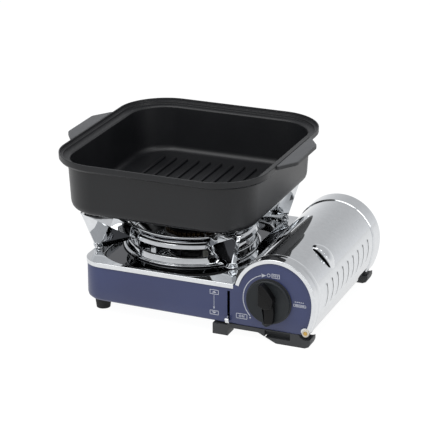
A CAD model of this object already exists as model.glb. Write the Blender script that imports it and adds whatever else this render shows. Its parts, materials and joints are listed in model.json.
# %% [markdown]
# # A butane cassette stove with its grill pan
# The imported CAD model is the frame: real sizes, real joints, one object per sub-part.
# This lesson dresses it. Sheet metal gets rolled edges, castings get soft corners, and
# every finish is worked out from noise and masks, so no picture file is needed.

# %% Tools
import json
import math

import bmesh
import bpy
import numpy as np
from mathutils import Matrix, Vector


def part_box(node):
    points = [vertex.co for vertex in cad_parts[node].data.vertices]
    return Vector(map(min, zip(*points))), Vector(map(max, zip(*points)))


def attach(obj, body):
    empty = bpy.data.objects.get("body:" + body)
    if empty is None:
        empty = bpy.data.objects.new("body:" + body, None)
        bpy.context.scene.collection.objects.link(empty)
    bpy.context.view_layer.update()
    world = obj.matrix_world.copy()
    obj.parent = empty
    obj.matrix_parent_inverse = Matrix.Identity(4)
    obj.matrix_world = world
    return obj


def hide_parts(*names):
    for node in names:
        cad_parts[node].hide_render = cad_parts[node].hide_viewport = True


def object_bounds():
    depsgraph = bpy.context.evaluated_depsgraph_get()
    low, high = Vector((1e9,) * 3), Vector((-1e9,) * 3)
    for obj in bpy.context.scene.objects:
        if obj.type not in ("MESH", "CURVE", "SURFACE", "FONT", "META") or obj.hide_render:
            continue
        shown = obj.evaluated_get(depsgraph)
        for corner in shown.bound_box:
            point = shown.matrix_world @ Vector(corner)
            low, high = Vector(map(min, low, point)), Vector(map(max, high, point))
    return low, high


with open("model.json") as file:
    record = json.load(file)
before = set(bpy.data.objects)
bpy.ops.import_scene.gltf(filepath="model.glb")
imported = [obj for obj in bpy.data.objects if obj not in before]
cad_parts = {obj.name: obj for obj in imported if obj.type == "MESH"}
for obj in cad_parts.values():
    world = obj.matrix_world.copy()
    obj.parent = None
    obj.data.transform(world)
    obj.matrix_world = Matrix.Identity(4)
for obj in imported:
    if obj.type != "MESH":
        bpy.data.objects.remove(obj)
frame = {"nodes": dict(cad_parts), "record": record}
cad_low, cad_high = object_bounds()
MM = 0.001
TAU = 2 * math.pi

# %% [markdown]
# ## Where things are
# The CAD source works from the middle of the painted tray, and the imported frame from
# the middle of the whole outline. The shell's box gives the step between the two, so
# every number below is a plain size in millimetres from the middle of the tray.

# %% Places read from the frame
shell_low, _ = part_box("body_shell")
BODY_LEFT, BODY_FRONT = -142.0, -116.0
SHIFT = np.array([shell_low.x / MM - BODY_LEFT, shell_low.y / MM - BODY_FRONT, 0.0])


def row(points):
    """Millimetres from the middle of the tray to metres in the row frame."""
    return (np.asarray(points, float) + SHIFT) * MM


def row_point(x, y, z):
    """One point as a Vector in the row frame."""
    return Vector(row([x, y, z]))


print("step from tray to frame, mm:", SHIFT.round(3))

# %% [markdown]
# ## Camera
# A long lens from the right front, twenty-one degrees up: near and far edges of the
# stove stay almost parallel, which is how such goods are shown in a catalogue.

# %% Camera


def way_to(turn, rise):
    """Direction a degrees round from the front to the right and e degrees up:
    (sin a cos e, -cos a cos e, sin e)."""
    a, e = math.radians(turn), math.radians(rise)
    return Vector((math.sin(a) * math.cos(e), -math.cos(a) * math.cos(e), math.sin(e)))


def facing(name, data, spot, way):
    """Object at a spot that looks back against a direction."""
    thing = bpy.data.objects.new(name, data)
    bpy.context.scene.collection.objects.link(thing)
    thing.location = spot
    thing.rotation_mode = "QUATERNION"
    thing.rotation_quaternion = (-way).to_track_quat("-Z", "Y")
    return thing


CAMERA_AIM, CAMERA_DISTANCE = row_point(-23.33, 0.0, 94.07), 2290.5
CAMERA_WAY = way_to(22.35, 20.71)
CAMERA_LENS, SENSOR = 164.81, 36.0
camera_data = bpy.data.cameras.new("camera")
camera_data.lens, camera_data.sensor_width = CAMERA_LENS, SENSOR
camera_data.clip_start, camera_data.clip_end = 0.05, 100.0
bpy.context.scene.camera = facing(
    "camera", camera_data, CAMERA_AIM + CAMERA_WAY * CAMERA_DISTANCE * MM, CAMERA_WAY)

# %% [markdown]
# ## Shader maths as expressions
# `Value` wraps one output socket. Adding or multiplying two of them adds a Math node,
# so a mask reads like a formula. `Finish` holds one material and makes any other node.

# %% Value and Finish


class Value:
    """A shader socket that takes part in arithmetic."""

    def __init__(self, finish, socket):
        self.finish, self.socket = finish, socket

    def __add__(self, other):
        return self.finish.math("ADD", self, other)

    def __mul__(self, other):
        return self.finish.math("MULTIPLY", self, other)

    __radd__, __rmul__ = __add__, __mul__

    def ramp(self, low, high, to_low=0.0, to_high=1.0):
        """Straight ramp from (low, to_low) to (high, to_high), held at both ends."""
        return self.finish.node("ShaderNodeMapRange", {"clamp": True}, {
            "Value": self, "From Min": low, "From Max": high, "To Min": to_low, "To Max": to_high,
        })["Result"]


def linear(red, green, blue):
    """Screen values from 0 to 255 to the linear colour that shaders use."""
    c = np.array([red, green, blue]) / 255.0
    c = np.where(c <= 0.04045, c / 12.92, ((c + 0.055) / 1.055) ** 2.4)
    return (*c.tolist(), 1.0)


class Finish:
    """One material with a Principled BSDF and helpers that add nodes to it."""

    def __init__(self, name, **fixed):
        self.material = bpy.data.materials.new(name)
        self.material.use_nodes = True
        self.tree = self.material.node_tree
        self.tree.nodes.clear()
        self.bsdf = self.tree.nodes.new("ShaderNodeBsdfPrincipled")
        self.output = self.tree.nodes.new("ShaderNodeOutputMaterial")
        self.tree.links.new(self.bsdf.outputs["BSDF"], self.output.inputs["Surface"])
        for socket, value in fixed.items():
            self.bsdf.inputs[socket.replace("_", " ")].default_value = value

    def feed(self, socket, value):
        """Sets or links one input socket."""
        if isinstance(value, Value):
            self.tree.links.new(value.socket, socket)
        else:
            socket.default_value = value

    def node(self, kind, settings, inputs):
        """Adds a node: settings first, then its sockets. Returns its outputs by name."""
        made = self.tree.nodes.new(kind)
        for key, value in settings.items():
            setattr(made, key, value)
        for key, value in inputs.items():
            self.feed(made.inputs[key], value)
        return {s.name: Value(self, s) for s in made.outputs if s.enabled}

    def math(self, operation, *values):
        made = self.tree.nodes.new("ShaderNodeMath")
        made.operation = operation
        for socket, value in zip(made.inputs, values):
            self.feed(socket, value)
        return Value(self, made.outputs[0])

    def place(self):
        """Object coordinates: metres in the row frame, because every piece sits at the origin."""
        return self.node("ShaderNodeTexCoord", {}, {})["Object"]

    def axis(self, name):
        """Object X, Y or Z as one value."""
        return self.node("ShaderNodeSeparateXYZ", {}, {"Vector": self.place()})[name]

    def noise(self, scale, detail=3.0, roughness=0.5, stretch=(1, 1, 1)):
        """Noise between 0 and 1. scale is in cells a metre; stretch squeezes it along an axis."""
        at = self.node("ShaderNodeMapping", {}, {"Vector": self.place(), "Scale": stretch})
        return self.node("ShaderNodeTexNoise", {"noise_dimensions": "3D"}, {
            "Vector": at["Vector"], "Scale": scale, "Detail": detail, "Roughness": roughness,
        })["Fac"]

    def mix(self, mask, first, second):
        """Colour that goes from first to second as mask goes from 0 to 1."""
        made = self.tree.nodes.new("ShaderNodeMix")
        made.data_type = "RGBA"
        self.feed(made.inputs["Factor"], mask)
        self.feed(made.inputs[6], first)
        self.feed(made.inputs[7], second)
        return Value(self, made.outputs[2])

    def bump(self, height, depth):
        """Normal of a surface that height, from 0 to 1, raises by depth metres."""
        inputs = {"Height": height, "Distance": depth, "Strength": 1.0}
        return self.node("ShaderNodeBump", {}, inputs)["Normal"]

    def set(self, **inputs):
        """Feeds the Principled BSDF's own sockets."""
        for name, value in inputs.items():
            self.feed(self.bsdf.inputs[name.replace("_", " ")], value)
        return self


# %% [markdown]
# ## Painted steel
# The tray is sprayed in a dusty blue. Sprayed paint keeps a faint orange peel, so the
# surface gets a fine low bump and its gloss wanders a little. Dust makes it paler low down.

# %% Blue paint


def blue_paint():
    paint = Finish("blue_paint", Specular_IOR_Level=0.5, Coat_Roughness=0.12)
    peel = paint.noise(900.0, 2.0)
    cloud = paint.noise(14.0, 4.0)
    # Dust fades out between 16 and 30 mm up
    low = paint.axis("Z").ramp(0.016, 0.030, 1.0, 0.0)
    colour = paint.mix(cloud.ramp(0.35, 0.65), linear(50, 58, 99), linear(56, 65, 106))
    colour = paint.mix(low * 0.22, colour, linear(88, 92, 118))
    return paint.set(
        Base_Color=colour, Roughness=cloud.ramp(0.3, 0.7, 0.34, 0.42), Coat_Weight=0.15,
        Normal=paint.bump(peel, 0.00003),
    )


# %% [markdown]
# ## Chromed sheet
# Bright plating on pressed sheet: a mirror whose surface still waves with the press
# work. A slow bump bends the reflections, and a very faint haze roughens them.

# %% Chrome


def chrome(name, wave=0.00003, haze=0.035, tint=(222, 224, 226), marked=None):
    """Bright plating. Where the mesh carries the mark, the colour is the marked one."""
    plate = Finish(name, Metallic=1.0)
    slow = plate.noise(16.0, 1.5)
    fine = plate.noise(240.0, 4.0, 0.6)
    wipe = plate.noise(30.0, 3.0, 0.5)
    colour = plate.mix(fine.ramp(0.3, 0.8), linear(*tint), linear(*[c - 10 for c in tint]))
    if marked:
        spot = plate.node("ShaderNodeAttribute", {"attribute_name": "mark"}, {})["Fac"]
        colour = plate.mix(spot.ramp(0.35, 0.65), colour, linear(*marked))
    return plate.set(
        Base_Color=colour, Roughness=wipe.ramp(0.3, 0.75, haze * 0.7, haze * 1.6),
        Normal=plate.bump(slow, wave),
    )


# %% [markdown]
# ## Plain metals
# Zinc-plated sheet shows a fine rolling grain, a casting a pebbled skin, turned brass
# and steel a fine thread of tool marks. One function makes them all from three numbers.

# %% Plain metal


def plain_metal(name, light, dark, rough, grain, depth, stretch=(1, 1, 1)):
    metal = Finish(name, Metallic=1.0)
    skin = metal.noise(grain, 3.0, 0.6, stretch)
    stain = metal.noise(22.0, 4.0)
    return metal.set(
        Base_Color=metal.mix(stain.ramp(0.35, 0.7), linear(*light), linear(*dark)),
        Roughness=skin.ramp(0.3, 0.7, rough * 0.8, rough * 1.2), Normal=metal.bump(skin, depth),
    )


# %% [markdown]
# ## Moulded plastic and rubber
# Mouldings copy the texture of their steel tool, here a fine spark-eroded grain, and the
# grain is why they look soft. Rubber is the same idea with a coarser, flatter grain.

# %% Plastics and rubber


def moulded(name, light, dark, rough, grain=1500.0, depth=0.00005):
    plastic = Finish(name, Specular_IOR_Level=0.45)
    skin = plastic.noise(grain, 2.0)
    handled = plastic.noise(30.0, 4.0)
    return plastic.set(
        Base_Color=plastic.mix(handled.ramp(0.3, 0.7), linear(*light), linear(*dark)),
        Roughness=handled.ramp(0.3, 0.7, rough * 0.9, rough * 1.1),
        Normal=plastic.bump(skin, depth),
    )


# %% [markdown]
# ## Non-stick coating
# The pan is cast aluminium under a sprayed, baked coating. It scatters light broadly,
# shows a pebble from the casting below it and carries pin-point pale flecks.

# %% Pan coating


def pan_coating():
    coat = Finish("pan_coating", Specular_IOR_Level=0.42)
    pebble = coat.noise(650.0, 3.0, 0.6)
    fleck = coat.noise(2600.0, 1.0)
    cloud = coat.noise(9.0, 4.0)
    colour = coat.mix(cloud.ramp(0.35, 0.65), linear(12, 13, 16), linear(18, 19, 22))
    colour = coat.mix(fleck.ramp(0.70, 0.76) * 0.25, colour, linear(104, 106, 110))
    return coat.set(
        Base_Color=colour, Roughness=cloud.ramp(0.3, 0.7, 0.36, 0.44),
        Normal=coat.bump(pebble, 0.00007),
    )


# %% All finishes, by the record's slot names
# The grain runs along the way a sheet was rolled, and round the axis of a turned part
ROLLED_X, ROLLED_Y = (1, 14, 1), (14, 1, 1)
TURNED_X, TURNED_Y = (8, 1, 1), (1, 8, 1)
METALS = {
    "zinc_sheet": ((186, 188, 190), (160, 163, 168), 0.34, 420.0, 0.00003, ROLLED_X),
    "aluminium_sheet": ((205, 206, 208), (182, 184, 187), 0.36, 380.0, 0.00003, ROLLED_Y),
    "die_cast": ((172, 173, 176), (148, 149, 152), 0.48, 900.0, 0.00012),
    "brass_parts": ((214, 178, 104), (186, 150, 84), 0.26, 1200.0, 0.00002, TURNED_Y),
    "steel_fixings": ((196, 197, 200), (170, 172, 176), 0.28, 1400.0, 0.00002, TURNED_X),
    "burner_cap": ((62, 60, 58), (40, 39, 38), 0.55, 1100.0, 0.00012),
}
MOULDINGS = {
    "base_plastic": ((52, 53, 55), (58, 59, 61), 0.50),
    "black_plastic": ((30, 31, 33), (37, 38, 40), 0.36, 1800.0, 0.00003),
    "foot_rubber": ((26, 26, 26), (34, 34, 34), 0.72, 800.0, 0.00010),
    "ceramic_white": ((238, 236, 228), (228, 225, 214), 0.22, 300.0, 0.00002),
    "wire_red": ((150, 34, 28), (128, 28, 24), 0.45),
    "can_steel": ((214, 216, 218), (200, 202, 206), 0.30, 200.0, 0.00002),
}
FINISHES = {
    "blue_paint": blue_paint(), "chrome_sheet": chrome("chrome_sheet"),
    "pan_coating": pan_coating(),
    **{name: plain_metal(name, *look) for name, look in METALS.items()},
    **{name: moulded(name, *look) for name, look in MOULDINGS.items()},
}


def dress(thing, slot_name):
    """Gives a CAD node the finish of its slot."""
    thing.data.materials.clear()
    thing.data.materials.append(FINISHES[slot_name].material)


slot_of_node = {s["node"]: s["material_slot"] for s in frame["record"]["subparts"]}
for node_name, slot_name in slot_of_node.items():
    dress(frame["nodes"][node_name], slot_name)

# The flame ring is browned by heat, so it gets a finish of its own
flame_metal = plain_metal("flame_ring_metal", (74, 62, 44), (38, 33, 27), 0.5, 900.0, 0.00008)
frame["nodes"]["flame_ring"].data.materials[0] = flame_metal.material
print("finishes:", len(FINISHES), "nodes dressed:", len(slot_of_node))

# %% [markdown]
# ## Surfaces from formulas
# Sheet metal and castings are mostly one section carried along one path. So a piece is
# built from grids, whose rows step along the section and whose columns step along the
# path. Corners of a section are rounded, because pressed and cast edges are never sharp.

# %% Grid tools


def box_mm(node):
    """Lowest and highest corner of a CAD node, in millimetres from the tray's middle."""
    low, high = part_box(node)
    return np.array(low) / MM - SHIFT, np.array(high) / MM - SHIFT


def unit(ways):
    """Directions at length 1."""
    return ways / np.linalg.norm(ways, axis=-1, keepdims=True)


def soften(corners, closed=False, steps=4):
    """Rounds a profile. A corner is (u, v) or (u, v, radius): one with a radius becomes a
    curve between the two points where an arc of that radius would touch its sides."""
    full = np.array([(*corner, 0.0)[:3] for corner in corners], float)
    blend = np.linspace(0, 1, steps + 1)[:, None]
    parts = []
    for i, (u, v, radius) in enumerate(full):
        here = np.array([u, v])
        if radius <= 0 or (not closed and i in (0, len(full) - 1)):
            parts.append(here[None])
            continue
        before, after = full[i - 1, :2] - here, full[(i + 1) % len(full), :2] - here
        reach = min(np.linalg.norm(before), np.linalg.norm(after))
        before, after = before / np.linalg.norm(before), after / np.linalg.norm(after)
        half = math.acos(np.clip(before @ after, -1, 1)) / 2
        cut = min(radius / math.tan(half), 0.49 * reach)
        start, end = here + before * cut, here + after * cut
        parts.append((1 - blend) ** 2 * start + 2 * blend * (1 - blend) * here + blend ** 2 * end)
    return np.concatenate(parts)


def outline(x0, x1, y0, y1, radii, steps):
    """Loop round a rectangle with four corners that are quarter circles, from the left
    front one. Returns the points and their outward directions. The count depends on steps
    only, so loops match."""
    quarter = np.linspace(0, 1, steps + 1)
    points, ways = [], []
    corners = [(x0, y0, 1, 1), (x1, y0, -1, 1), (x1, y1, -1, -1), (x0, y1, 1, -1)]
    for k, ((x, y, in_x, in_y), radius) in enumerate(zip(corners, radii)):
        angle = math.pi + (k + quarter) * math.pi / 2
        way = np.stack([np.cos(angle), np.sin(angle)], -1)
        points.append(np.array([x + in_x * radius, y + in_y * radius]) + radius * way)
        ways.append(way)
    return np.concatenate(points), np.concatenate(ways)


def carried(points, ways, profile):
    """Carries a profile of (outwards, height) round a flat loop: each of its points moves
    the loop outwards and lifts it."""
    flat = points[None] + ways[None] * profile[:, 0, None, None]
    height = np.broadcast_to(profile[:, 1, None, None], (*flat.shape[:2], 1))
    return np.concatenate([flat, height], -1)


def turned(profile, x, y, steps=128):
    """Turns a profile of (radius, height) about an upright axis: each of its points draws a
    circle."""
    angle = np.arange(steps) / steps * TAU
    radius = profile[:, 0, None]
    height = np.broadcast_to(profile[:, 1, None], (len(profile), steps))
    return np.stack([x + radius * np.cos(angle), y + radius * np.sin(angle), height], -1)


def sheet_of(profile, thickness):
    """Closes an open profile: a second side is moved square to it by the thickness."""
    along = unit(np.gradient(profile, axis=0))
    inner = profile + np.stack([-along[:, 1], along[:, 0]], -1) * thickness
    return np.concatenate([profile, inner[::-1]])


MERGE_WITHIN = 0.00001


class Piece:
    """Grids and caps that become one Blender object. Each point carries a mark from 0 to 1,
    for a finish that has a second colour."""

    def __init__(self):
        self.points, self.faces, self.marks = [], [], []
        self.count = 0

    def grid(self, points, wrap_rows=False, wrap_columns=False, mark=0.0):
        """Adds rows x columns x 3 points. A wrapped side joins its last line to its first."""
        rows, columns = points.shape[:2]
        r = np.arange(rows if wrap_rows else rows - 1)[:, None]
        c = np.arange(columns if wrap_columns else columns - 1)[None, :]
        r_next, c_next = (r + 1) % rows, (c + 1) % columns
        near, far = r * columns, r_next * columns
        corner = [near + c, near + c_next, far + c_next, far + c]
        self.faces += (np.stack(corner, -1).reshape(-1, 4) + self.count).tolist()
        self._add(points.reshape(-1, 3), np.broadcast_to(mark, (rows, columns)).ravel())
        return self

    def cap(self, loop):
        """Adds one flat face on a loop of points."""
        self.faces.append((np.arange(len(loop)) + self.count).tolist())
        self._add(loop, np.zeros(len(loop)))
        return self

    def _add(self, points, marks):
        self.points.append(points)
        self.marks.append(marks)
        self.count += len(points)

    def make(self, name, body, slot, *nodes, sharp=38, finish=None):
        """Builds the object: merged, facing outwards, smooth but for edges over the angle."""
        mesh = bpy.data.meshes.new(name)
        mesh.from_pydata(row(np.concatenate(self.points)).tolist(), [], self.faces)
        mark = mesh.attributes.new("mark", "FLOAT", "POINT")
        mark.data.foreach_set("value", np.concatenate(self.marks))
        shape = bmesh.new()
        shape.from_mesh(mesh)
        bmesh.ops.remove_doubles(shape, verts=shape.verts, dist=MERGE_WITHIN)
        bmesh.ops.recalc_face_normals(shape, faces=shape.faces)
        shape.to_mesh(mesh)
        shape.free()
        mesh.shade_smooth()
        mesh.set_sharp_from_angle(angle=math.radians(sharp))
        thing = bpy.data.objects.new(name, mesh)
        bpy.context.scene.collection.objects.link(thing)
        mesh.materials.append((finish or FINISHES[slot]).material)
        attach(thing, body)
        if nodes:
            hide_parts(*nodes)
        print(f"{name}: {len(mesh.vertices)} points, {len(mesh.polygons)} faces")
        return thing


def slab(piece, loop, low, high, edge, place=lambda p: p, steps=4):
    """Plate with round edges. loop is its outline, counter-clockwise; place maps
    (u, v, height) to the tray's axes. An edge's section is a quarter circle."""
    side = unit(np.roll(loop, -1, 0) - loop) + unit(loop - np.roll(loop, 1, 0))
    way = unit(np.stack([side[:, 1], -side[:, 0]], -1))
    turn = np.linspace(0, math.pi / 2, steps + 1)
    out = edge * (np.sin(turn) - 1)
    lift = edge * (1 - np.cos(turn))
    lower, upper = np.stack([out, low + lift], -1), np.stack([out, high - lift], -1)
    rows = place(carried(loop, way, np.concatenate([lower, upper[::-1]])))
    return piece.grid(rows, wrap_columns=True).cap(rows[0][::-1]).cap(rows[-1])


def upright(points):
    """(x, z, y) to (x, y, z): for outlines drawn as seen from the front."""
    return points[..., [0, 2, 1]]


# %% [markdown]
# ## Soft edges on the CAD parts
# The CAD solids arrive as flat triangles. A small node group shades them smooth except
# across real edges, and a narrow bevel on those edges catches the light.

# %% Smooth shading and bevels


def smooth_group(degrees):
    """Node group that shades smooth and keeps edges over the angle sharp."""
    group = bpy.data.node_groups.new("smooth_by_angle", "GeometryNodeTree")
    for way in ("INPUT", "OUTPUT"):
        group.interface.new_socket("Geometry", in_out=way, socket_type="NodeSocketGeometry")
    start, end = group.nodes.new("NodeGroupInput"), group.nodes.new("NodeGroupOutput")
    faces, edges = (group.nodes.new("GeometryNodeSetShadeSmooth") for _ in range(2))
    edges.domain = "EDGE"
    edges.inputs["Shade Smooth"].default_value = False
    angle = group.nodes.new("GeometryNodeInputMeshEdgeAngle")
    over = group.nodes.new("FunctionNodeCompare")
    over.operation = "GREATER_THAN"
    over.inputs[1].default_value = math.radians(degrees)
    group.links.new(angle.outputs["Unsigned Angle"], over.inputs[0])
    group.links.new(over.outputs[0], edges.inputs["Selection"])
    group.links.new(start.outputs[0], faces.inputs["Geometry"])
    group.links.new(faces.outputs[0], edges.inputs["Geometry"])
    group.links.new(edges.outputs[0], end.inputs[0])
    return group


SMOOTH = smooth_group(35)
WELD_WITHIN, BEVEL_OVER = 0.00002, math.radians(30)
BEVELS = {
    "base_frame": 0.8, "lock_lever": 0.35, "left_feet": 0.8, "knob_bezel": 0.4,
    "body_shell": 0.3, "burner_head": 0.4, "flame_ring": 0.2, "regulator_body": 0.5,
    "regulator_cover": 0.4,
}
for node_name, thing in frame["nodes"].items():
    weld = thing.modifiers.new("weld", "WELD")
    weld.merge_threshold = WELD_WITHIN
    if node_name in BEVELS:
        bevel = thing.modifiers.new("bevel", "BEVEL")
        bevel.width = BEVELS[node_name] * MM
        bevel.segments = 2
        bevel.angle_limit = BEVEL_OVER
    thing.modifiers.new("smooth", "NODES").node_group = SMOOTH

# %% [markdown]
# ## Grill pan
# A cast pan keeps a thick rolled rim with a groove for its lid, walls that lean out a
# little so that it leaves the mould, and a soft turn into the floor. One section of
# (distance from the rim's outer edge, height) carries all of that round the pan.

# %% Pan bowl
pan_low, pan_high = box_mm("pan")
PAN_MID = (pan_low + pan_high) / 2
PAN_HALF_D = (pan_high[1] - pan_low[1]) / 2
HANDLE_REACH, HANDLE_DROP, HANDLE_T = 15.5, 0.4, 5.0
PAN_HALF_W = (pan_high[0] - pan_low[0]) / 2 - HANDLE_REACH
PAN_CORNER, RIM_BOW = 58.0, 4.0
FOOT_Z, RIM_Z = pan_low[2], pan_high[2]
FOOT_H, PAN_FLOOR_T = 10.5, 3.5
HANDLE_Z = RIM_Z - HANDLE_DROP
BASE_Z = FOOT_Z + FOOT_H
FLOOR_Z = BASE_Z + PAN_FLOOR_T


def round_pan(half_w, half_d, corner, steps, x=PAN_MID[0]):
    """Loop round a rectangle with four equal corners, about the pan's middle or beside it."""
    y = PAN_MID[1]
    return outline(x - half_w, x + half_w, y - half_d, y + half_d, [corner] * 4, steps)


def bowed(points):
    """Draws the corners in, so that each side of the pan is a long flat curve: a point at
    u, v (from -1 to 1 across the pan) moves in by the bow times v squared, and less away
    from the side by the cube of u."""
    half = np.array([PAN_HALF_W, PAN_HALF_D])
    at = (points[..., :2] - PAN_MID[:2]) / half
    moved = points.copy()
    moved[..., :2] -= RIM_BOW * at[..., ::-1] ** 2 * np.sign(at) * np.abs(at) ** 3
    return moved


# From the middle of the underside, out and up the wall, over the rim and back to the floor
pan_section = soften([
    (-36, BASE_Z), (-14.6, BASE_Z, 18), (-11.1, RIM_Z - 9.5, 3), (-2.6, RIM_Z - 9.2, 2),
    (-0.3, RIM_Z - 6.5, 2), (-0.2, RIM_Z - 0.1, 1), (-1.9, RIM_Z - 0.1, 0.5),
    (-2.4, RIM_Z - 3.6, 0.6), (-5.4, RIM_Z - 3.7, 0.6), (-5.9, RIM_Z - 6.5, 0.6),
    (-12.6, RIM_Z - 6.8, 1.4), (-14.2, RIM_Z - 8.2, 1.6), (-17.6, FLOOR_Z, 14), (-34, FLOOR_Z),
], steps=6)
pan_loop = round_pan(PAN_HALF_W, PAN_HALF_D, PAN_CORNER, 28)
pan = Piece()
bowl_rows = bowed(carried(*pan_loop, pan_section))
pan.grid(bowl_rows, wrap_columns=True).cap(bowl_rows[0][::-1]).cap(bowl_rows[-1])

# Foot ring under the floor. It and the ribs run 1 mm into the casting.
FOOT_HALF, FOOT_W, SUNK = 92.0, 6.0, 1.0
foot_section = soften([
    (-FOOT_W, BASE_Z + SUNK), (-FOOT_W, FOOT_Z, 1.2), (0, FOOT_Z, 1.2), (0, BASE_Z + SUNK),
])
foot_loop = round_pan(FOOT_HALF, FOOT_HALF, PAN_CORNER, 20)
pan.grid(carried(*foot_loop, foot_section), wrap_rows=True, wrap_columns=True)

# Ribs across the floor
RIBS, RIB_PITCH, RIB_HALF_W, RIB_H, RIB_EDGE, RIB_END = 11, 15.0, 2.5, 2.4, 1.4, 46.0
for k in range(RIBS):
    rib_x = PAN_MID[0] + RIB_PITCH * (k - (RIBS - 1) / 2)
    rib_loop, _ = round_pan(RIB_HALF_W, PAN_HALF_D - RIB_END, RIB_HALF_W - 0.1, 5, rib_x)
    slab(pan, rib_loop, FLOOR_Z - SUNK, FLOOR_Z + RIB_H, RIB_EDGE)
pan.make("pan_bowl", "grill_pan", "pan_coating", "pan")

# %% [markdown]
# The handles are flat ears cast on the rim. Their tops are rubbed lighter than the bowl
# and show the casting's pebble, while their edges keep the dark coat.

# %% Pan handles


def handle_finish():
    coat = Finish("pan_handle_top", Specular_IOR_Level=0.5)
    pebble = coat.noise(520.0, 3.0, 0.6)
    cloud = coat.noise(16.0, 4.0)
    top = coat.axis("Z").ramp((HANDLE_Z - 1.2) * MM, (HANDLE_Z - 0.3) * MM)
    colour = coat.mix(cloud.ramp(0.3, 0.7), linear(74, 75, 77), linear(90, 91, 93))
    return coat.set(
        Base_Color=coat.mix(top, linear(24, 25, 28), colour),
        Roughness=cloud.ramp(0.3, 0.7, 0.46, 0.55), Normal=coat.bump(pebble, 0.00008),
    )


root, tip = PAN_HALF_W - 1.4, PAN_HALF_W + HANDLE_REACH
handle_loop = soften([
    (root, -55), (root + 2, -54.5, 8), (tip, -32, 13), (tip, 32, 13), (root + 2, 54.5, 8),
    (root, 55),
], steps=8)
handles = Piece()
for loop in (-handle_loop, handle_loop):
    slab(handles, loop + PAN_MID[:2], HANDLE_Z - HANDLE_T, HANDLE_Z, 1.0)
handles.make("pan_handles", "grill_pan", "pan_coating", finish=handle_finish())

# %% [markdown]
# ## Top plate
# One chromed pressing: a skirt that hooks over the tray, a rounded edge, a flat rim, a
# rolled drop into the recess and a floor with the burner's hole. Each of these is a loop
# with the same number of points, so the plate is one grid from the skirt to the hole.

# %% Plate
plate_low, plate_high = box_mm("top_plate")
BURNER = np.array([-56.0, 10.0])
RIM, SHEET = plate_high[2], 1.0
RECESS_R, RECESS_RIGHT_R, RECESS_D, HOLE_R, BAND_H = 65.0, 40.0, 11.0, 72.0, 5.5
RECESS = (plate_low[0] + 3.0, 28.0, plate_low[1] + 5.0, plate_high[1] - 5.0)
PLATE_LEFT_R, PLATE_RIGHT_R = 26.0, 1.6
LOOP_STEPS = 20
SKIRT_Z, FOOT = RIM - BAND_H, RIM - RECESS_D

outer_loop = outline(
    plate_low[0], plate_high[0], plate_low[1], plate_high[1],
    [PLATE_LEFT_R, PLATE_RIGHT_R, PLATE_RIGHT_R, PLATE_LEFT_R], LOOP_STEPS)
recess_loop = outline(
    *RECESS, [RECESS_R, RECESS_RIGHT_R, RECESS_RIGHT_R, RECESS_R], LOOP_STEPS)
skirt = soften([(-0.9, SKIRT_Z), (0, SKIRT_Z, 0.4), (0, RIM, 1.5), (-1.8, RIM)], steps=5)
drop = soften([(1.2, RIM), (0.2, RIM, 1.2), (-1.4, FOOT, 3.0), (-6, FOOT)], steps=6)

# The hole's edge: points of the recess, moved straight to the burner's circle
toward = unit(recess_loop[0] - BURNER)
hole = np.concatenate([BURNER + toward * HOLE_R, np.full((len(toward), 1), FOOT)], -1)
under = hole - [0, 0, SHEET]
plate_rows = np.concatenate([
    carried(*outer_loop, skirt), carried(*recess_loop, drop), hole[None], under[None]])

# The last loops are the recess's floor, which the finish shows darker
FLOOR_LOOPS = 6
floor_mark = np.zeros(plate_rows.shape[:2])
floor_mark[-FLOOR_LOOPS:] = 1.0
back_rows = np.concatenate([
    carried(*outer_loop, np.array([[-0.9, SKIRT_Z], [-1.0, RIM - SHEET]])),
    carried(*recess_loop, np.array([[SHEET, RIM - SHEET], [SHEET, FOOT - SHEET]])),
    under[None]])
plate = Piece()
plate.grid(plate_rows, wrap_columns=True, mark=floor_mark).grid(back_rows, wrap_columns=True)
plate_chrome = chrome("plate_chrome", marked=(84, 85, 88))
plate.make("top_plate_sheet", "stove", "chrome_sheet", "top_plate", finish=plate_chrome)

# %% [markdown]
# ## Drip bowl and wind ring
# Both are spun sheet, so a section turned about the burner's axis is the whole shape.
# The bowl stands on a rolled bead, rises as a cone to a soft lip and drops to a deep
# floor; the ring has a rolled bead on top, an inward wall and a bell at its foot.

# %% Bowl and ring
SPUN_T = 0.7


def bead(middle, height, radius, start, stop, step):
    """Points on a circle, from one angle in degrees towards another."""
    angle = np.radians(np.arange(start, stop, step))
    return np.stack([middle + radius * np.cos(angle), height + radius * np.sin(angle)], -1)


def spun(side):
    """Sheet whose section is turned about the burner's axis."""
    return Piece().grid(turned(sheet_of(side, SPUN_T), *BURNER), wrap_rows=True, wrap_columns=True)


bowl_low, bowl_high = box_mm("burner_bowl")
BOWL_R = (bowl_high[0] - bowl_low[0]) / 2
BOWL_FLOOR = bowl_low[2] + 0.8
bowl_side = np.concatenate([
    bead(BOWL_R - 1.2, FOOT + 1.4, 1.2, -150, 121, 18),
    soften([
        (BOWL_R - 2.8, FOOT + 2.2), (BOWL_R - 3.0, FOOT + 3.4, 0.6),
        (BOWL_R - 5.6, RIM - 1.0, 2.0), (BOWL_R - 8.4, RIM - 0.9, 1.6), (BOWL_R - 18, 48, 8),
        (50, BOWL_FLOOR, 6), (28, BOWL_FLOOR, 0.8), (28, 44.5),
    ], steps=6),
])
spun(bowl_side).make("drip_bowl", "stove", "chrome_sheet", "burner_bowl", sharp=50)

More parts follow.
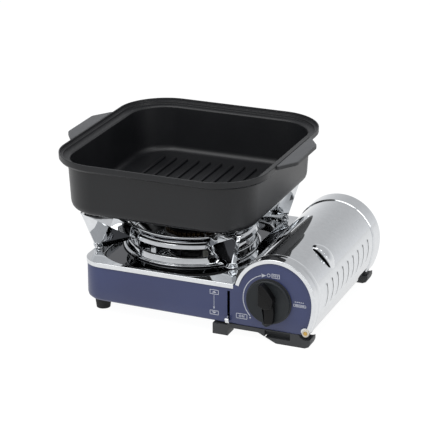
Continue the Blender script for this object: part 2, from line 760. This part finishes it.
ring_low, ring_high = box_mm("trivet_ring")
RING_TOP, RING_LOW = ring_high[2], ring_low[2]
RING_R = (ring_high[0] - ring_low[0]) / 2 - 0.6
ring_side = np.concatenate([
    soften([
        (RING_R + 1.2, RING_LOW), (RING_R + 1.3, RING_LOW + 1.4, 1.0),
        (RING_R - 0.4, RING_LOW + 5.6, 4.0), (RING_R - 2.6, RING_LOW + 7.6, 1.6),
        (RING_R - 0.6, RING_TOP - 3.4),
    ], steps=6),
    bead(RING_R - 0.9, RING_TOP - 1.5, 1.5, -60, 231, 15),
])
spun(ring_side).make("wind_ring", "trivet", "chrome_sheet", "trivet_ring", sharp=60)

# %% [markdown]
# ## Trivet arms
# Each arm is one folded sheet. A narrow spine leans out from the plate's rim to a tip
# beyond the pan. A side sheet on each flank runs in to the wind ring, and a crease from
# the tip parts its lower half from an upper half that carries the pan.

# %% Arm corners, as (distance from the burner's axis, offset to one side, height)
ARM_FOOT, ARM_TIP, ARM_T = 120.0, 137.0, 0.9
LEDGE_Z = FOOT_Z - 0.1
arm_corners = {
    "foot": (ARM_FOOT, 3.0, RIM + 0.4), "tip": (ARM_TIP, 1.7, LEDGE_Z + 4.8),
    "ledge_out": (125.0, 5.0, LEDGE_Z), "ledge_in": (101.0, 9.5, LEDGE_Z),
    "crease": (107.0, 12.5, RIM + 28.5), "fold": (93.0, 9.5, RIM + 36.0),
    "ring_high": (RING_R + 0.3, 8.5, RING_TOP - 0.6),
    "ring_low": (RING_R + 1.4, 16.0, RING_LOW + 2.0),
}
SIDE_PATCHES = [
    ("foot", "ring_low", "crease", "tip"), ("tip", "crease", "ledge_in", "ledge_out"),
    ("ring_low", "ring_high", "fold", "crease"), ("crease", "fold", "ledge_in", "ledge_in"),
]


def patch(corners, steps=6):
    """Grid between four corners a, b, c, d: the blend of a-b and d-c."""
    a, b, c, d = (np.array(corner, float) for corner in corners)
    u, v = np.linspace(0, 1, steps)[None, :, None], np.linspace(0, 1, steps)[:, None, None]
    return (1 - v) * ((1 - u) * a + u * b) + v * ((1 - u) * d + u * c)


def round_burner(points, angle):
    """(radius, side, height) to the tray's axes: turned by the angle, moved to the burner."""
    c, s = math.cos(angle), math.sin(angle)
    out, side, height = points[..., 0], points[..., 1], points[..., 2]
    return np.stack([BURNER[0] + out * c - side * s, BURNER[1] + out * s + side * c, height], -1)


def tube(path, radius, steps=10):
    """Grid of a round wire along a path of points: a circle square to the path at each.
    The fixed vector only says where a circle starts, and no wire runs along it."""
    along = unit(np.gradient(path, axis=0))
    across = unit(np.cross(along, [0.31, 0.17, 0.93]))
    third = np.cross(along, across)
    turn = (np.arange(steps) / steps * TAU)[None, :, None]
    circle = np.cos(turn) * across[:, None] + np.sin(turn) * third[:, None]
    return path[:, None] + radius * circle


def path_of(out, side, height):
    """Path from three coordinates, of which some may be plain numbers."""
    return np.stack(np.broadcast_arrays(out, side, height), -1)


# %% Hems: one round the foot, a curl that stands on it, one rolled at the tip
# Each is a wire, as (path, radius)
foot, tip = (np.array(arm_corners[k]) for k in ("foot", "tip"))
hem_turn, curl_turn = np.linspace(-2.5, 2.5, 25), np.linspace(0, math.pi, 15)
HEMS = [
    (path_of(ARM_FOOT - 3.2 + 4.6 * np.cos(hem_turn), 6.0 * np.sin(hem_turn), RIM + 1.6), 1.0),
    (path_of(ARM_FOOT + 1.2, 5.2 * np.cos(curl_turn), RIM + 1.4 + 7.5 * np.sin(curl_turn)), 0.8),
    (path_of(tip[0] - 0.4, np.linspace(-2.3, 2.3, 9), tip[2] - 0.2), 1.5),
]

# %% Arms
ARM_ANGLES = {"front_left": 225, "front_right": 315, "rear_right": 45, "rear_left": 135}
MIRRORED = [1, -1, 1]
for name, degrees in ARM_ANGLES.items():
    angle = math.radians(degrees)
    arm = Piece()
    for side in (1, -1):
        spot = {key: np.array(p) * [1, side, 1] for key, p in arm_corners.items()}
        for keys in SIDE_PATCHES:
            arm.grid(round_burner(patch([spot[k] for k in keys]), angle))
    arm.grid(round_burner(patch([foot * MIRRORED, foot, tip, tip * MIRRORED]), angle))
    sheet = arm.make(f"arm_{name}", "trivet", "chrome_sheet", f"trivet_arm_{name}", sharp=12)
    solid = sheet.modifiers.new("sheet", "SOLIDIFY")
    solid.thickness, solid.offset = ARM_T * MM, 0.0

    hems = Piece()
    for path, radius in HEMS:
        wire_rows = round_burner(tube(path, radius), angle)
        hems.grid(wire_rows, wrap_columns=True).cap(wire_rows[0][::-1]).cap(wire_rows[-1])
    hems.make(f"arm_hems_{name}", "trivet", "chrome_sheet", sharp=60)

# %% [markdown]
# ## Canister cover
# One chromed sheet bent over two arcs: a dome and a flatter right side. Everything else
# is pressed out of it, so it is a height over that sheet: a bead at the front, a raised
# band at the rear, nine louvres and one scoop. The sheet's own grid carries that height.

# %% Cover sizes
cover_low, cover_high = box_mm("canister_cover")
DOME_X, DOME_Z, DOME_R = 95.0, 51.0, 48.0
SIDE_R = 84.0
SIDE_X = DOME_X + DOME_R - SIDE_R
COVER_T, FLANGE_W, BAND_OUT = 0.8, 4.6, 1.2
COVER_Y0, COVER_Y1 = cover_low[1], cover_high[1]
COVER_LOW, COVER_LEFT = cover_low[2], plate_high[2]
LOUVRES, LOUVRE_PITCH, LOUVRE_HALF = 9, 17.85, 13.5
LOUVRE_LEAN, LOUVRE_RISE, LOUVRE_SAG = math.tan(math.radians(14)), 1.2, 2.4
LOUVRE_Y0 = -LOUVRE_PITCH * (LOUVRES - 1) / 2 - 7
SCOOP_Y, SCOOP_ANGLE = -48.0, math.radians(45)
SCOOP_LONG, SCOOP_DEEP, SCOOP_RISE, SCOOP_LIP = 17.0, 14.0, 6.4, -8.0
BEAD_RISE, BEAD_IN, BEAD_HALF = 0.55, 14.0, 3.2
DOME_STEPS, SIDE_STEPS = 150, 46

# %% Cover section: points and outward directions along the two arcs
dome_start = math.pi - math.asin((COVER_LEFT - DOME_Z) / DOME_R)
side_end = -math.asin((DOME_Z - COVER_LOW) / SIDE_R)
cover_angles = np.concatenate([
    np.linspace(dome_start, 0, DOME_STEPS), np.linspace(0, side_end, SIDE_STEPS)[1:]])
on_dome = np.arange(len(cover_angles))[:, None] < DOME_STEPS
cover_ways = np.stack([np.cos(cover_angles), np.sin(cover_angles)], -1)
cover_middle = np.where(on_dome, [[DOME_X, DOME_Z]], [[SIDE_X, DOME_Z]])
cover_arc = cover_middle + cover_ways * np.where(on_dome, DOME_R, SIDE_R)
step_lengths = np.linalg.norm(np.diff(cover_arc, axis=0), axis=1)
way_along = np.concatenate([[0], np.cumsum(step_lengths)])
louvre_mid = way_along[DOME_STEPS - 1]
scoop_mid = louvre_mid - DOME_R * SCOOP_ANGLE

# %% Columns along Y: close together at the louvres and the scoop, wide elsewhere
LOUVRE_COLUMNS = np.array(
    [-3.4, -2.6, -1.8, -1.0, -0.4, 0.2, 0.7, 1.1, 1.4, 1.7, 2.1, 2.5, 3.2, 4.5])
columns = [LOUVRE_Y0 + LOUVRE_PITCH * k + LOUVRE_COLUMNS for k in range(LOUVRES)]
for start, stop, step in (
        (SCOOP_Y - 13, SCOOP_Y + 15, 0.55), (COVER_Y0 + 1.4, COVER_Y1 - 1.2, 3.1),
        (COVER_Y0 + 8, COVER_Y0 + 20, 0.7), (COVER_Y1 - 25, COVER_Y1 - 20, 0.5)):
    columns.append(np.arange(start, stop, step))
across = np.unique(np.round(np.concatenate(columns), 1))
across = across[np.concatenate([[True], np.diff(across) > 0.25])]

# %% Relief


def smooth_step(value, low, high):
    """0 below low, 1 above high and an S-curve between."""
    t = np.clip((value - low) / (high - low), 0, 1)
    return t * t * (3 - 2 * t)


def cover_height(along, y):
    """Height over the plain sheet and the mark of dark openings, at arc length and Y.
    A louvre rises with v, the distance past its crest, and falls off towards its ends as a
    half circle. The scoop is a dome of height (1 - t*t - u*u), cut off at its lip."""
    lift = BEAD_RISE * np.exp(-(((y - COVER_Y0 - BEAD_IN) / BEAD_HALF) ** 4))
    lift = lift + BAND_OUT * smooth_step(y, COVER_Y1 - 24.0, COVER_Y1 - 22.6)
    dark = np.zeros_like(lift)
    s = (along - louvre_mid) / LOUVRE_HALF
    end = np.sqrt(np.clip(1 - s * s, 0, 1))
    for k in range(LOUVRES):
        v = y - (LOUVRE_Y0 + LOUVRE_PITCH * k) + LOUVRE_SAG * (1 - end)
        rise = smooth_step(v, -4.8, 0.0) * (1 - smooth_step(v, 0.3, 0.9))
        slot = smooth_step(v, -1.3, -0.7) * (1 - smooth_step(v, 2.7, 3.2))
        lift = lift + LOUVRE_RISE * end * rise
        dark = np.maximum(dark, smooth_step(end, 0.2, 0.5) * slot)
    t, u = (along - scoop_mid) / SCOOP_LONG, (y - SCOOP_Y) / SCOOP_DEEP
    hood = np.clip(1 - t * t - u * u, 0, 1) ** 0.85
    lip = SCOOP_LIP + 2.2 * np.abs(t)
    front = smooth_step(y - SCOOP_Y, lip - 0.3, lip + 0.3)
    mouth = (hood > 0) * (1 - front) * smooth_step(y - SCOOP_Y, lip - 3.6, lip - 3.0)
    lift = lift + SCOOP_RISE * hood * front - 0.6 * mouth
    dark = np.maximum(dark, mouth * (hood > 0.04))
    return lift, dark


# The louvres lean, so the columns lean with them there and are straight at both ends
lean = np.clip(louvre_mid - way_along, -LOUVRE_HALF, LOUVRE_HALF) * LOUVRE_LEAN
LEAN_START, LEAN_END = (-112, -84), (78, 90)
middle = smooth_step(across, *LEAN_START) * (1 - smooth_step(across, *LEAN_END))
fade = smooth_step(way_along, louvre_mid - 2.4 * LOUVRE_HALF, louvre_mid - LOUVRE_HALF)
leaning = lean[:, None] * middle[None, :] * fade[:, None]
y_grid = across[None, :] + leaning
lift_grid, dark_grid = cover_height(way_along[:, None] + 0 * y_grid, y_grid - leaning)

# %% Cover sheet
# (height over the sheet, Y) of the rolled flanges at both ends and of the plain inner side
front_edge = soften([
    (-FLANGE_W, COVER_Y0 + COVER_T), (-FLANGE_W, COVER_Y0, 0.3), (0, COVER_Y0, 1.5),
    (0, COVER_Y0 + 2.0),
], steps=4)
rear_edge = soften([
    (BAND_OUT, COVER_Y1 - 2.0), (BAND_OUT, COVER_Y1, 1.5), (-FLANGE_W, COVER_Y1, 0.3),
    (-FLANGE_W, COVER_Y1 - COVER_T),
], steps=4)
inside = np.array([(-COVER_T, COVER_Y1 - COVER_T), (-COVER_T, COVER_Y0 + COVER_T)])
# Columns nearer to an end than this give way to the flange there
FLANGE_ROOM = 2.4
keep = (across > COVER_Y0 + FLANGE_ROOM) & (across < COVER_Y1 - FLANGE_ROOM)


def round_section(sheet, value_of):
    """Joins the front edge, the sheet's grid, the rear edge and the back, row by row.
    value_of takes what belongs to the grid from an edge's points."""
    front, rear, back = (
        np.broadcast_to(value_of(edge), (len(cover_arc), len(edge)))
        for edge in (front_edge, rear_edge, inside))
    return np.concatenate([front, sheet[:, keep], rear, back], 1)


lift_all = round_section(lift_grid, lambda edge: edge[:, 0])
y_all = round_section(y_grid, lambda edge: edge[:, 1])
dark_all = round_section(dark_grid, lambda edge: 0.0)
flat = cover_arc[:, None, :] + cover_ways[:, None, :] * lift_all[..., None]
cover_points = np.stack([flat[..., 0], y_all, flat[..., 1]], -1)
cover = Piece()
cover.grid(cover_points, wrap_columns=True, mark=dark_all)
cover.cap(cover_points[0]).cap(cover_points[-1][::-1])

# An ear at each end goes round the hinge rod
EAR_X, EAR_Z, EAR_HALF_W, EAR_HALF_H = 131.6, 19.8, 4.9, 4.2
ear_turn = np.linspace(0, TAU, 40, endpoint=False)
ear = np.stack([
    EAR_X + EAR_HALF_W * np.cos(ear_turn), EAR_Z + EAR_HALF_H * np.sin(ear_turn)], -1)
for y0, y1 in ((COVER_Y0, COVER_Y0 + COVER_T), (COVER_Y1 - COVER_T, COVER_Y1)):
    slab(cover, ear, y0 + 0.05, y1 - 0.05, 0.2, upright)
cover_chrome = chrome("cover_chrome", marked=(6, 6, 7))
cover.make(
    "cover_sheet", "cover", "chrome_sheet", "canister_cover", sharp=42, finish=cover_chrome)

# %% [markdown]
# ## Knob
# A moulded disc with a ridge to grip: high above the middle, stepped to one side and
# lower below it, with a pointer under the rim. The disc is turned about its own axis,
# and the ridge is two plates with round edges that overlap at the step.

# %% Knob
knob_low, knob_high = box_mm("knob")
KNOB_X, KNOB_Z, KNOB_R = 88.5, 49.2, 25.5
KNOB_FRONT, KNOB_BACK = knob_low[1], knob_high[1]
DISC_T = 4.0
KNOB_FACE = KNOB_BACK - DISC_T


def knob_finish():
    """Grained black plastic: the disc is worn paler, the ridge stays dark and smooth."""
    plastic = Finish("knob_plastic", Specular_IOR_Level=0.22)
    skin = plastic.noise(1700.0, 2.0)
    handled = plastic.noise(38.0, 4.0)
    face = KNOB_FACE + SHIFT[1]
    ridge = plastic.axis("Y").ramp((face - 1.6) * MM, (face - 0.4) * MM, 1.0, 0.0)
    disc = plastic.mix(handled.ramp(0.3, 0.7), linear(38, 41, 43), linear(46, 49, 51))
    return plastic.set(
        Base_Color=plastic.mix(ridge, disc, linear(4, 4, 5)),
        Roughness=handled.ramp(0.3, 0.7, 0.36, 0.46), Normal=plastic.bump(skin, 0.00003),
    )


disc_section = soften([
    (0.01, KNOB_FACE + 0.6), (KNOB_R - 4.0, KNOB_FACE + 0.4, 3),
    (KNOB_R - 1.2, KNOB_FACE - 0.1, 1.0), (KNOB_R, KNOB_FACE + 1.0, 0.8), (KNOB_R, KNOB_BACK),
    (0.01, KNOB_BACK),
], steps=5)
upper_grip = [
    (-7.6, -1, 1.2), (1, -4.5, 1.5), (8.6, -2, 1.5), (10.4, 8, 5), (3.4, 18, 5),
    (-3.2, 24.3, 1.2), (-7.4, 22.6, 1.2)]
lower_grip = [
    (-2.0, -23.6, 1.2), (8.4, -22.6, 2), (10.0, -9, 3), (8.2, 3, 1.5), (-6.5, 2, 1.5),
    (-3.2, -6, 3)]
pointer = [(-6, -21.0), (4, -21.0), (3, -26.2, 1), (-1.6, -28.6, 0.8), (-5, -26.2, 1)]

# Outline, front, back and edge radius of each plate on the disc
knob_plates = [
    (upper_grip, KNOB_FRONT + 0.2, KNOB_FACE + 1, 1.6),
    (lower_grip, KNOB_FRONT + 4.6, KNOB_FACE + 1, 1.6),
    (pointer, KNOB_FACE + 0.2, KNOB_BACK - 0.3, 0.7),
]
knob = Piece()
knob.grid(upright(turned(disc_section, KNOB_X, KNOB_Z, 96)), wrap_columns=True)
for corners, front, back, edge in knob_plates:
    ridge_loop = soften(corners, closed=True, steps=5) + [KNOB_X, KNOB_Z]
    slab(knob, ridge_loop, front, back, edge, upright)
knob.make("knob_body", "knob_shaft", "black_plastic", "knob", sharp=50, finish=knob_finish())

# %% [markdown]
# ## Printed marks
# The scale round the knob and the signs beside the lever are screen-printed in white.
# Ink has a thickness, so each mark is a plate a few hundredths of a millimetre thick.

# %% Ink and strokes
INK_BACK, INK_FRONT, INK_EDGE = BODY_FRONT + 0.02, BODY_FRONT - 0.06, 0.02


def ink_finish():
    ink = Finish("white_print", Specular_IOR_Level=0.4, Roughness=0.42)
    worn = ink.noise(900.0, 3.0).ramp(0.35, 0.7)
    return ink.set(Base_Color=ink.mix(worn, linear(214, 216, 222), linear(190, 193, 204)))


marks = Piece()


def filled(corners):
    """Filled shape of ink on the panel."""
    slab(marks, np.array(corners), INK_FRONT, INK_BACK, INK_EDGE, upright, 1)


def bar(x0, z0, x1, z1, width):
    """Straight stroke of ink between two points of the panel."""
    start, end = np.array([x0, z0], float), np.array([x1, z1], float)
    way = unit(end - start)
    off = np.array([-way[1], way[0]]) * width / 2
    filled([start - off, end - off, end + off, start + off])


def curve(x, z, radius, width, steps=40, start=0, end=360):
    """Round stroke between two angles in degrees: a circle half the width out, another
    half the width in."""
    angle = np.radians(np.linspace(start, end, steps))
    way = np.stack([np.cos(angle), np.sin(angle)], -1)
    rows = np.stack([way * (radius + width / 2), way * (radius - width / 2)]) + [x, z]
    for depth in (INK_FRONT, INK_BACK):
        marks.grid(upright(np.concatenate([rows, np.full((2, steps, 1), depth)], -1)))


def frame_mark(x0, x1, z0, z1, width=0.7):
    """Rectangle of four strokes."""
    for a in ((x0, z0, x1, z0), (x1, z0, x1, z1), (x1, z1, x0, z1), (x0, z1, x0, z0)):
        bar(*a, width)


# %% Marks round the knob, in millimetres on the panel
curve(KNOB_X, KNOB_Z, 30.5, 1.0, start=224, end=108)
filled([(80.0, 76.2), (84.9, 79.3), (79.6, 80.7)])
curve(87.9, 79.8, 1.8, 0.7)
frame_mark(91.6, 100.4, 77.6, 82.1)
curve(93.7, 79.85, 0.95, 0.6, 16)
for x in (95.6, 97.9):
    bar(x, 78.5, x, 81.2, 0.6)
    bar(x, 81.0, x + 1.5, 81.0, 0.6)
    bar(x, 79.9, x + 1.2, 79.9, 0.6)
frame_mark(50.0, 62.7, 23.2, 28.8)
curve(54.6, 26.0, 1.2, 0.65, 16)
for stroke in ((57.2, 24.5, 57.2, 27.5), (57.2, 27.5, 59.3, 24.5), (59.3, 24.5, 59.3, 27.5)):
    bar(*stroke, 0.6)
curve(66.4, 26.0, 0.5, 1.0, 16)
for x in np.arange(118.6, 130.0, 2.3):
    bar(x, 53.3, x + 1.5, 53.4, 0.9)
frame_mark(117.4, 131.6, 48.0, 50.6, 0.6)
bar(119.0, 49.3, 130.0, 49.3, 0.7)

# %% Marks beside the lever: two frames with arrows and a line between them
frame_mark(18.4, 28.4, 47.4, 52.4)
frame_mark(18.4, 28.4, 22.8, 27.4)
bar(23.2, 46.6, 23.2, 31.6, 0.5)
for z, way in ((50.0, 1), (25.1, -1)):
    filled([(20.6, z - way), (26.2, z - way), (23.4, z + 1.2 * way)][::way])
filled([(21.9, 32.2), (23.2, 29.2), (24.5, 32.2)])
marks.make("panel_print", "stove", "blue_paint", finish=ink_finish())

# %% [markdown]
# ## Hinge caps
# The cover turns on a rod whose ends carry a pale plastic cap with a brass rivet head.

# %% Hinge caps
cap_low, cap_high = box_mm("hinge_rod_caps")
CAP_X, _, CAP_Z = (cap_low + cap_high) / 2
CAP_R = (cap_high[0] - cap_low[0]) / 2
cap_plastic = moulded("hinge_cap_plastic", (232, 224, 208), (214, 205, 188), 0.4)
caps, rivets = Piece(), Piece()
for face, way in ((cap_low[1], 1), (cap_high[1], -1)):
    rim_section = soften([
        (2.3, face + 0.9 * way), (2.6, face + 0.1 * way, 0.4), (CAP_R, face + 0.1 * way, 0.8),
        (CAP_R, face + 2.0 * way),
    ], steps=5)
    rivet_section = soften([
        (0.01, face + 0.05 * way), (2.4, face + 0.3 * way, 1.0), (2.4, face + 1.6 * way),
    ], steps=5)
    caps.grid(upright(turned(rim_section, CAP_X, CAP_Z, 48)), wrap_columns=True)
    rivets.grid(upright(turned(rivet_section, CAP_X, CAP_Z, 32)), wrap_columns=True)
cap_slot = slot_of_node["hinge_rod_caps"]
caps.make("hinge_cap_rims", "cover", cap_slot, "hinge_rod_caps", finish=cap_plastic)
rivets.make("hinge_cap_rivets", "cover", "brass_parts")

# %% [markdown]
# ## Studio
# A plain pale floor that runs out of sight, a white surround and three soft lamps at a
# level where a colour renders as it is written. The floor and the surround are lifted to
# white for the camera and in reflections only, so no extra light falls on the stove.

# %% Floor
FLOOR_HALF, FLOOR_DROP = 12.0, 0.0002
floor_corners = [
    (x * FLOOR_HALF, y * FLOOR_HALF, 0) for x, y in ((-1, -1), (1, -1), (1, 1), (-1, 1))]
floor_mesh = bpy.data.meshes.new("floor")
floor_mesh.from_pydata(floor_corners, [], [(0, 1, 2, 3)])
floor = bpy.data.objects.new("floor", floor_mesh)
bpy.context.scene.collection.objects.link(floor)
floor.location.z = cad_low.z - FLOOR_DROP

# %% Floor finish: paper, mixed with a white glow for the camera and in reflections
CAMERA_LIFT, GLOSSY_LIFT, GLOW = 0.86, 0.66, 1.12
paper = Finish("paper_floor", Roughness=0.9, Specular_IOR_Level=0.1)
paper_tone = paper.noise(3.0, 2.0)
paper.set(Base_Color=paper.mix(paper_tone, (0.80, 0.80, 0.80, 1), (0.82, 0.82, 0.82, 1)))
rays = paper.node("ShaderNodeLightPath", {}, {})
glow = paper.node("ShaderNodeEmission", {}, {"Color": (1, 1, 1, 1), "Strength": GLOW})
lifted = paper.node("ShaderNodeMixShader", {}, {
    0: rays["Is Camera Ray"] * CAMERA_LIFT + rays["Is Glossy Ray"] * GLOSSY_LIFT,
    1: Value(paper, paper.bsdf.outputs["BSDF"]), 2: glow["Emission"],
})
paper.feed(paper.output.inputs["Surface"], lifted["Shader"])
floor.data.materials.append(paper.material)

# %% Surround
# The camera sees white, reflections see a studio that is bright at the horizon and dimmer
# overhead, and everything else gets an even, low light.
world = bpy.data.worlds.new("studio")
bpy.context.scene.world = world
world.use_nodes = True
sky = world.node_tree
sky.nodes.clear()


def sky_node(kind, inputs):
    """Adds a node to the surround and returns its outputs. An input is a plain value or
    the output of another node."""
    made = sky.nodes.new(kind)
    for key, value in inputs.items():
        if isinstance(value, bpy.types.NodeSocket):
            sky.links.new(value, made.inputs[key])
        else:
            made.inputs[key].default_value = value
    return made.outputs


def background(colour, strength):
    return sky_node("ShaderNodeBackground", {"Color": (*colour, 1), "Strength": strength})[0]


def mixed(mask, first, second):
    return sky_node("ShaderNodeMixShader", {0: mask, 1: first, 2: second})[0]


sky_rays = sky_node("ShaderNodeLightPath", {})
gaze = sky_node("ShaderNodeTexCoord", {})["Generated"]
upward = sky_node("ShaderNodeSeparateXYZ", {0: gaze})["Z"]
level = sky_node("ShaderNodeMapRange", {
    "Value": upward, "From Min": -0.05, "From Max": 0.45, "To Min": 0.92, "To Max": 0.60})[0]
fill, white = background((0.92, 0.95, 1.0), 0.42), background((1, 1, 1), 1.0)
studio = background((0.97, 0.98, 1.0), level)
glossy = mixed(sky_rays["Is Glossy Ray"], fill, studio)
seen = mixed(sky_rays["Is Camera Ray"], glossy, white)
sky_node("ShaderNodeOutputWorld", {"Surface": seen})

# %% Lamps


def soft_lamp(name, turn, rise, distance, width, depth, power):
    """A soft box aimed at the stove."""
    data = bpy.data.lights.new(name, "AREA")
    data.shape = "RECTANGLE"
    data.size, data.size_y = width, depth
    data.energy = power
    away = way_to(turn, rise)
    facing(name, data, row_point(0, 0, 80) + away * distance, away)


# Turn and rise in degrees; distance, width and depth in metres; power in watts
soft_lamp("key_lamp", -35, 52, 1.5, 1.1, 1.1, 9.0)
soft_lamp("top_lamp", 30, 82, 1.4, 1.3, 1.0, 6.0)
soft_lamp("side_lamp", 75, 30, 1.4, 0.5, 1.2, 4.0)
bpy.context.scene.view_settings.view_transform = "Standard"

# %% [markdown]
# ## Sizes and finish
# The dressed model must stay inside the CAD box, so both boxes are written down side by
# side before the frame's own checks run.

# %% Sizes
print("CAD box, mm:", [round(v / MM, 1) for v in (*cad_low, *cad_high)])
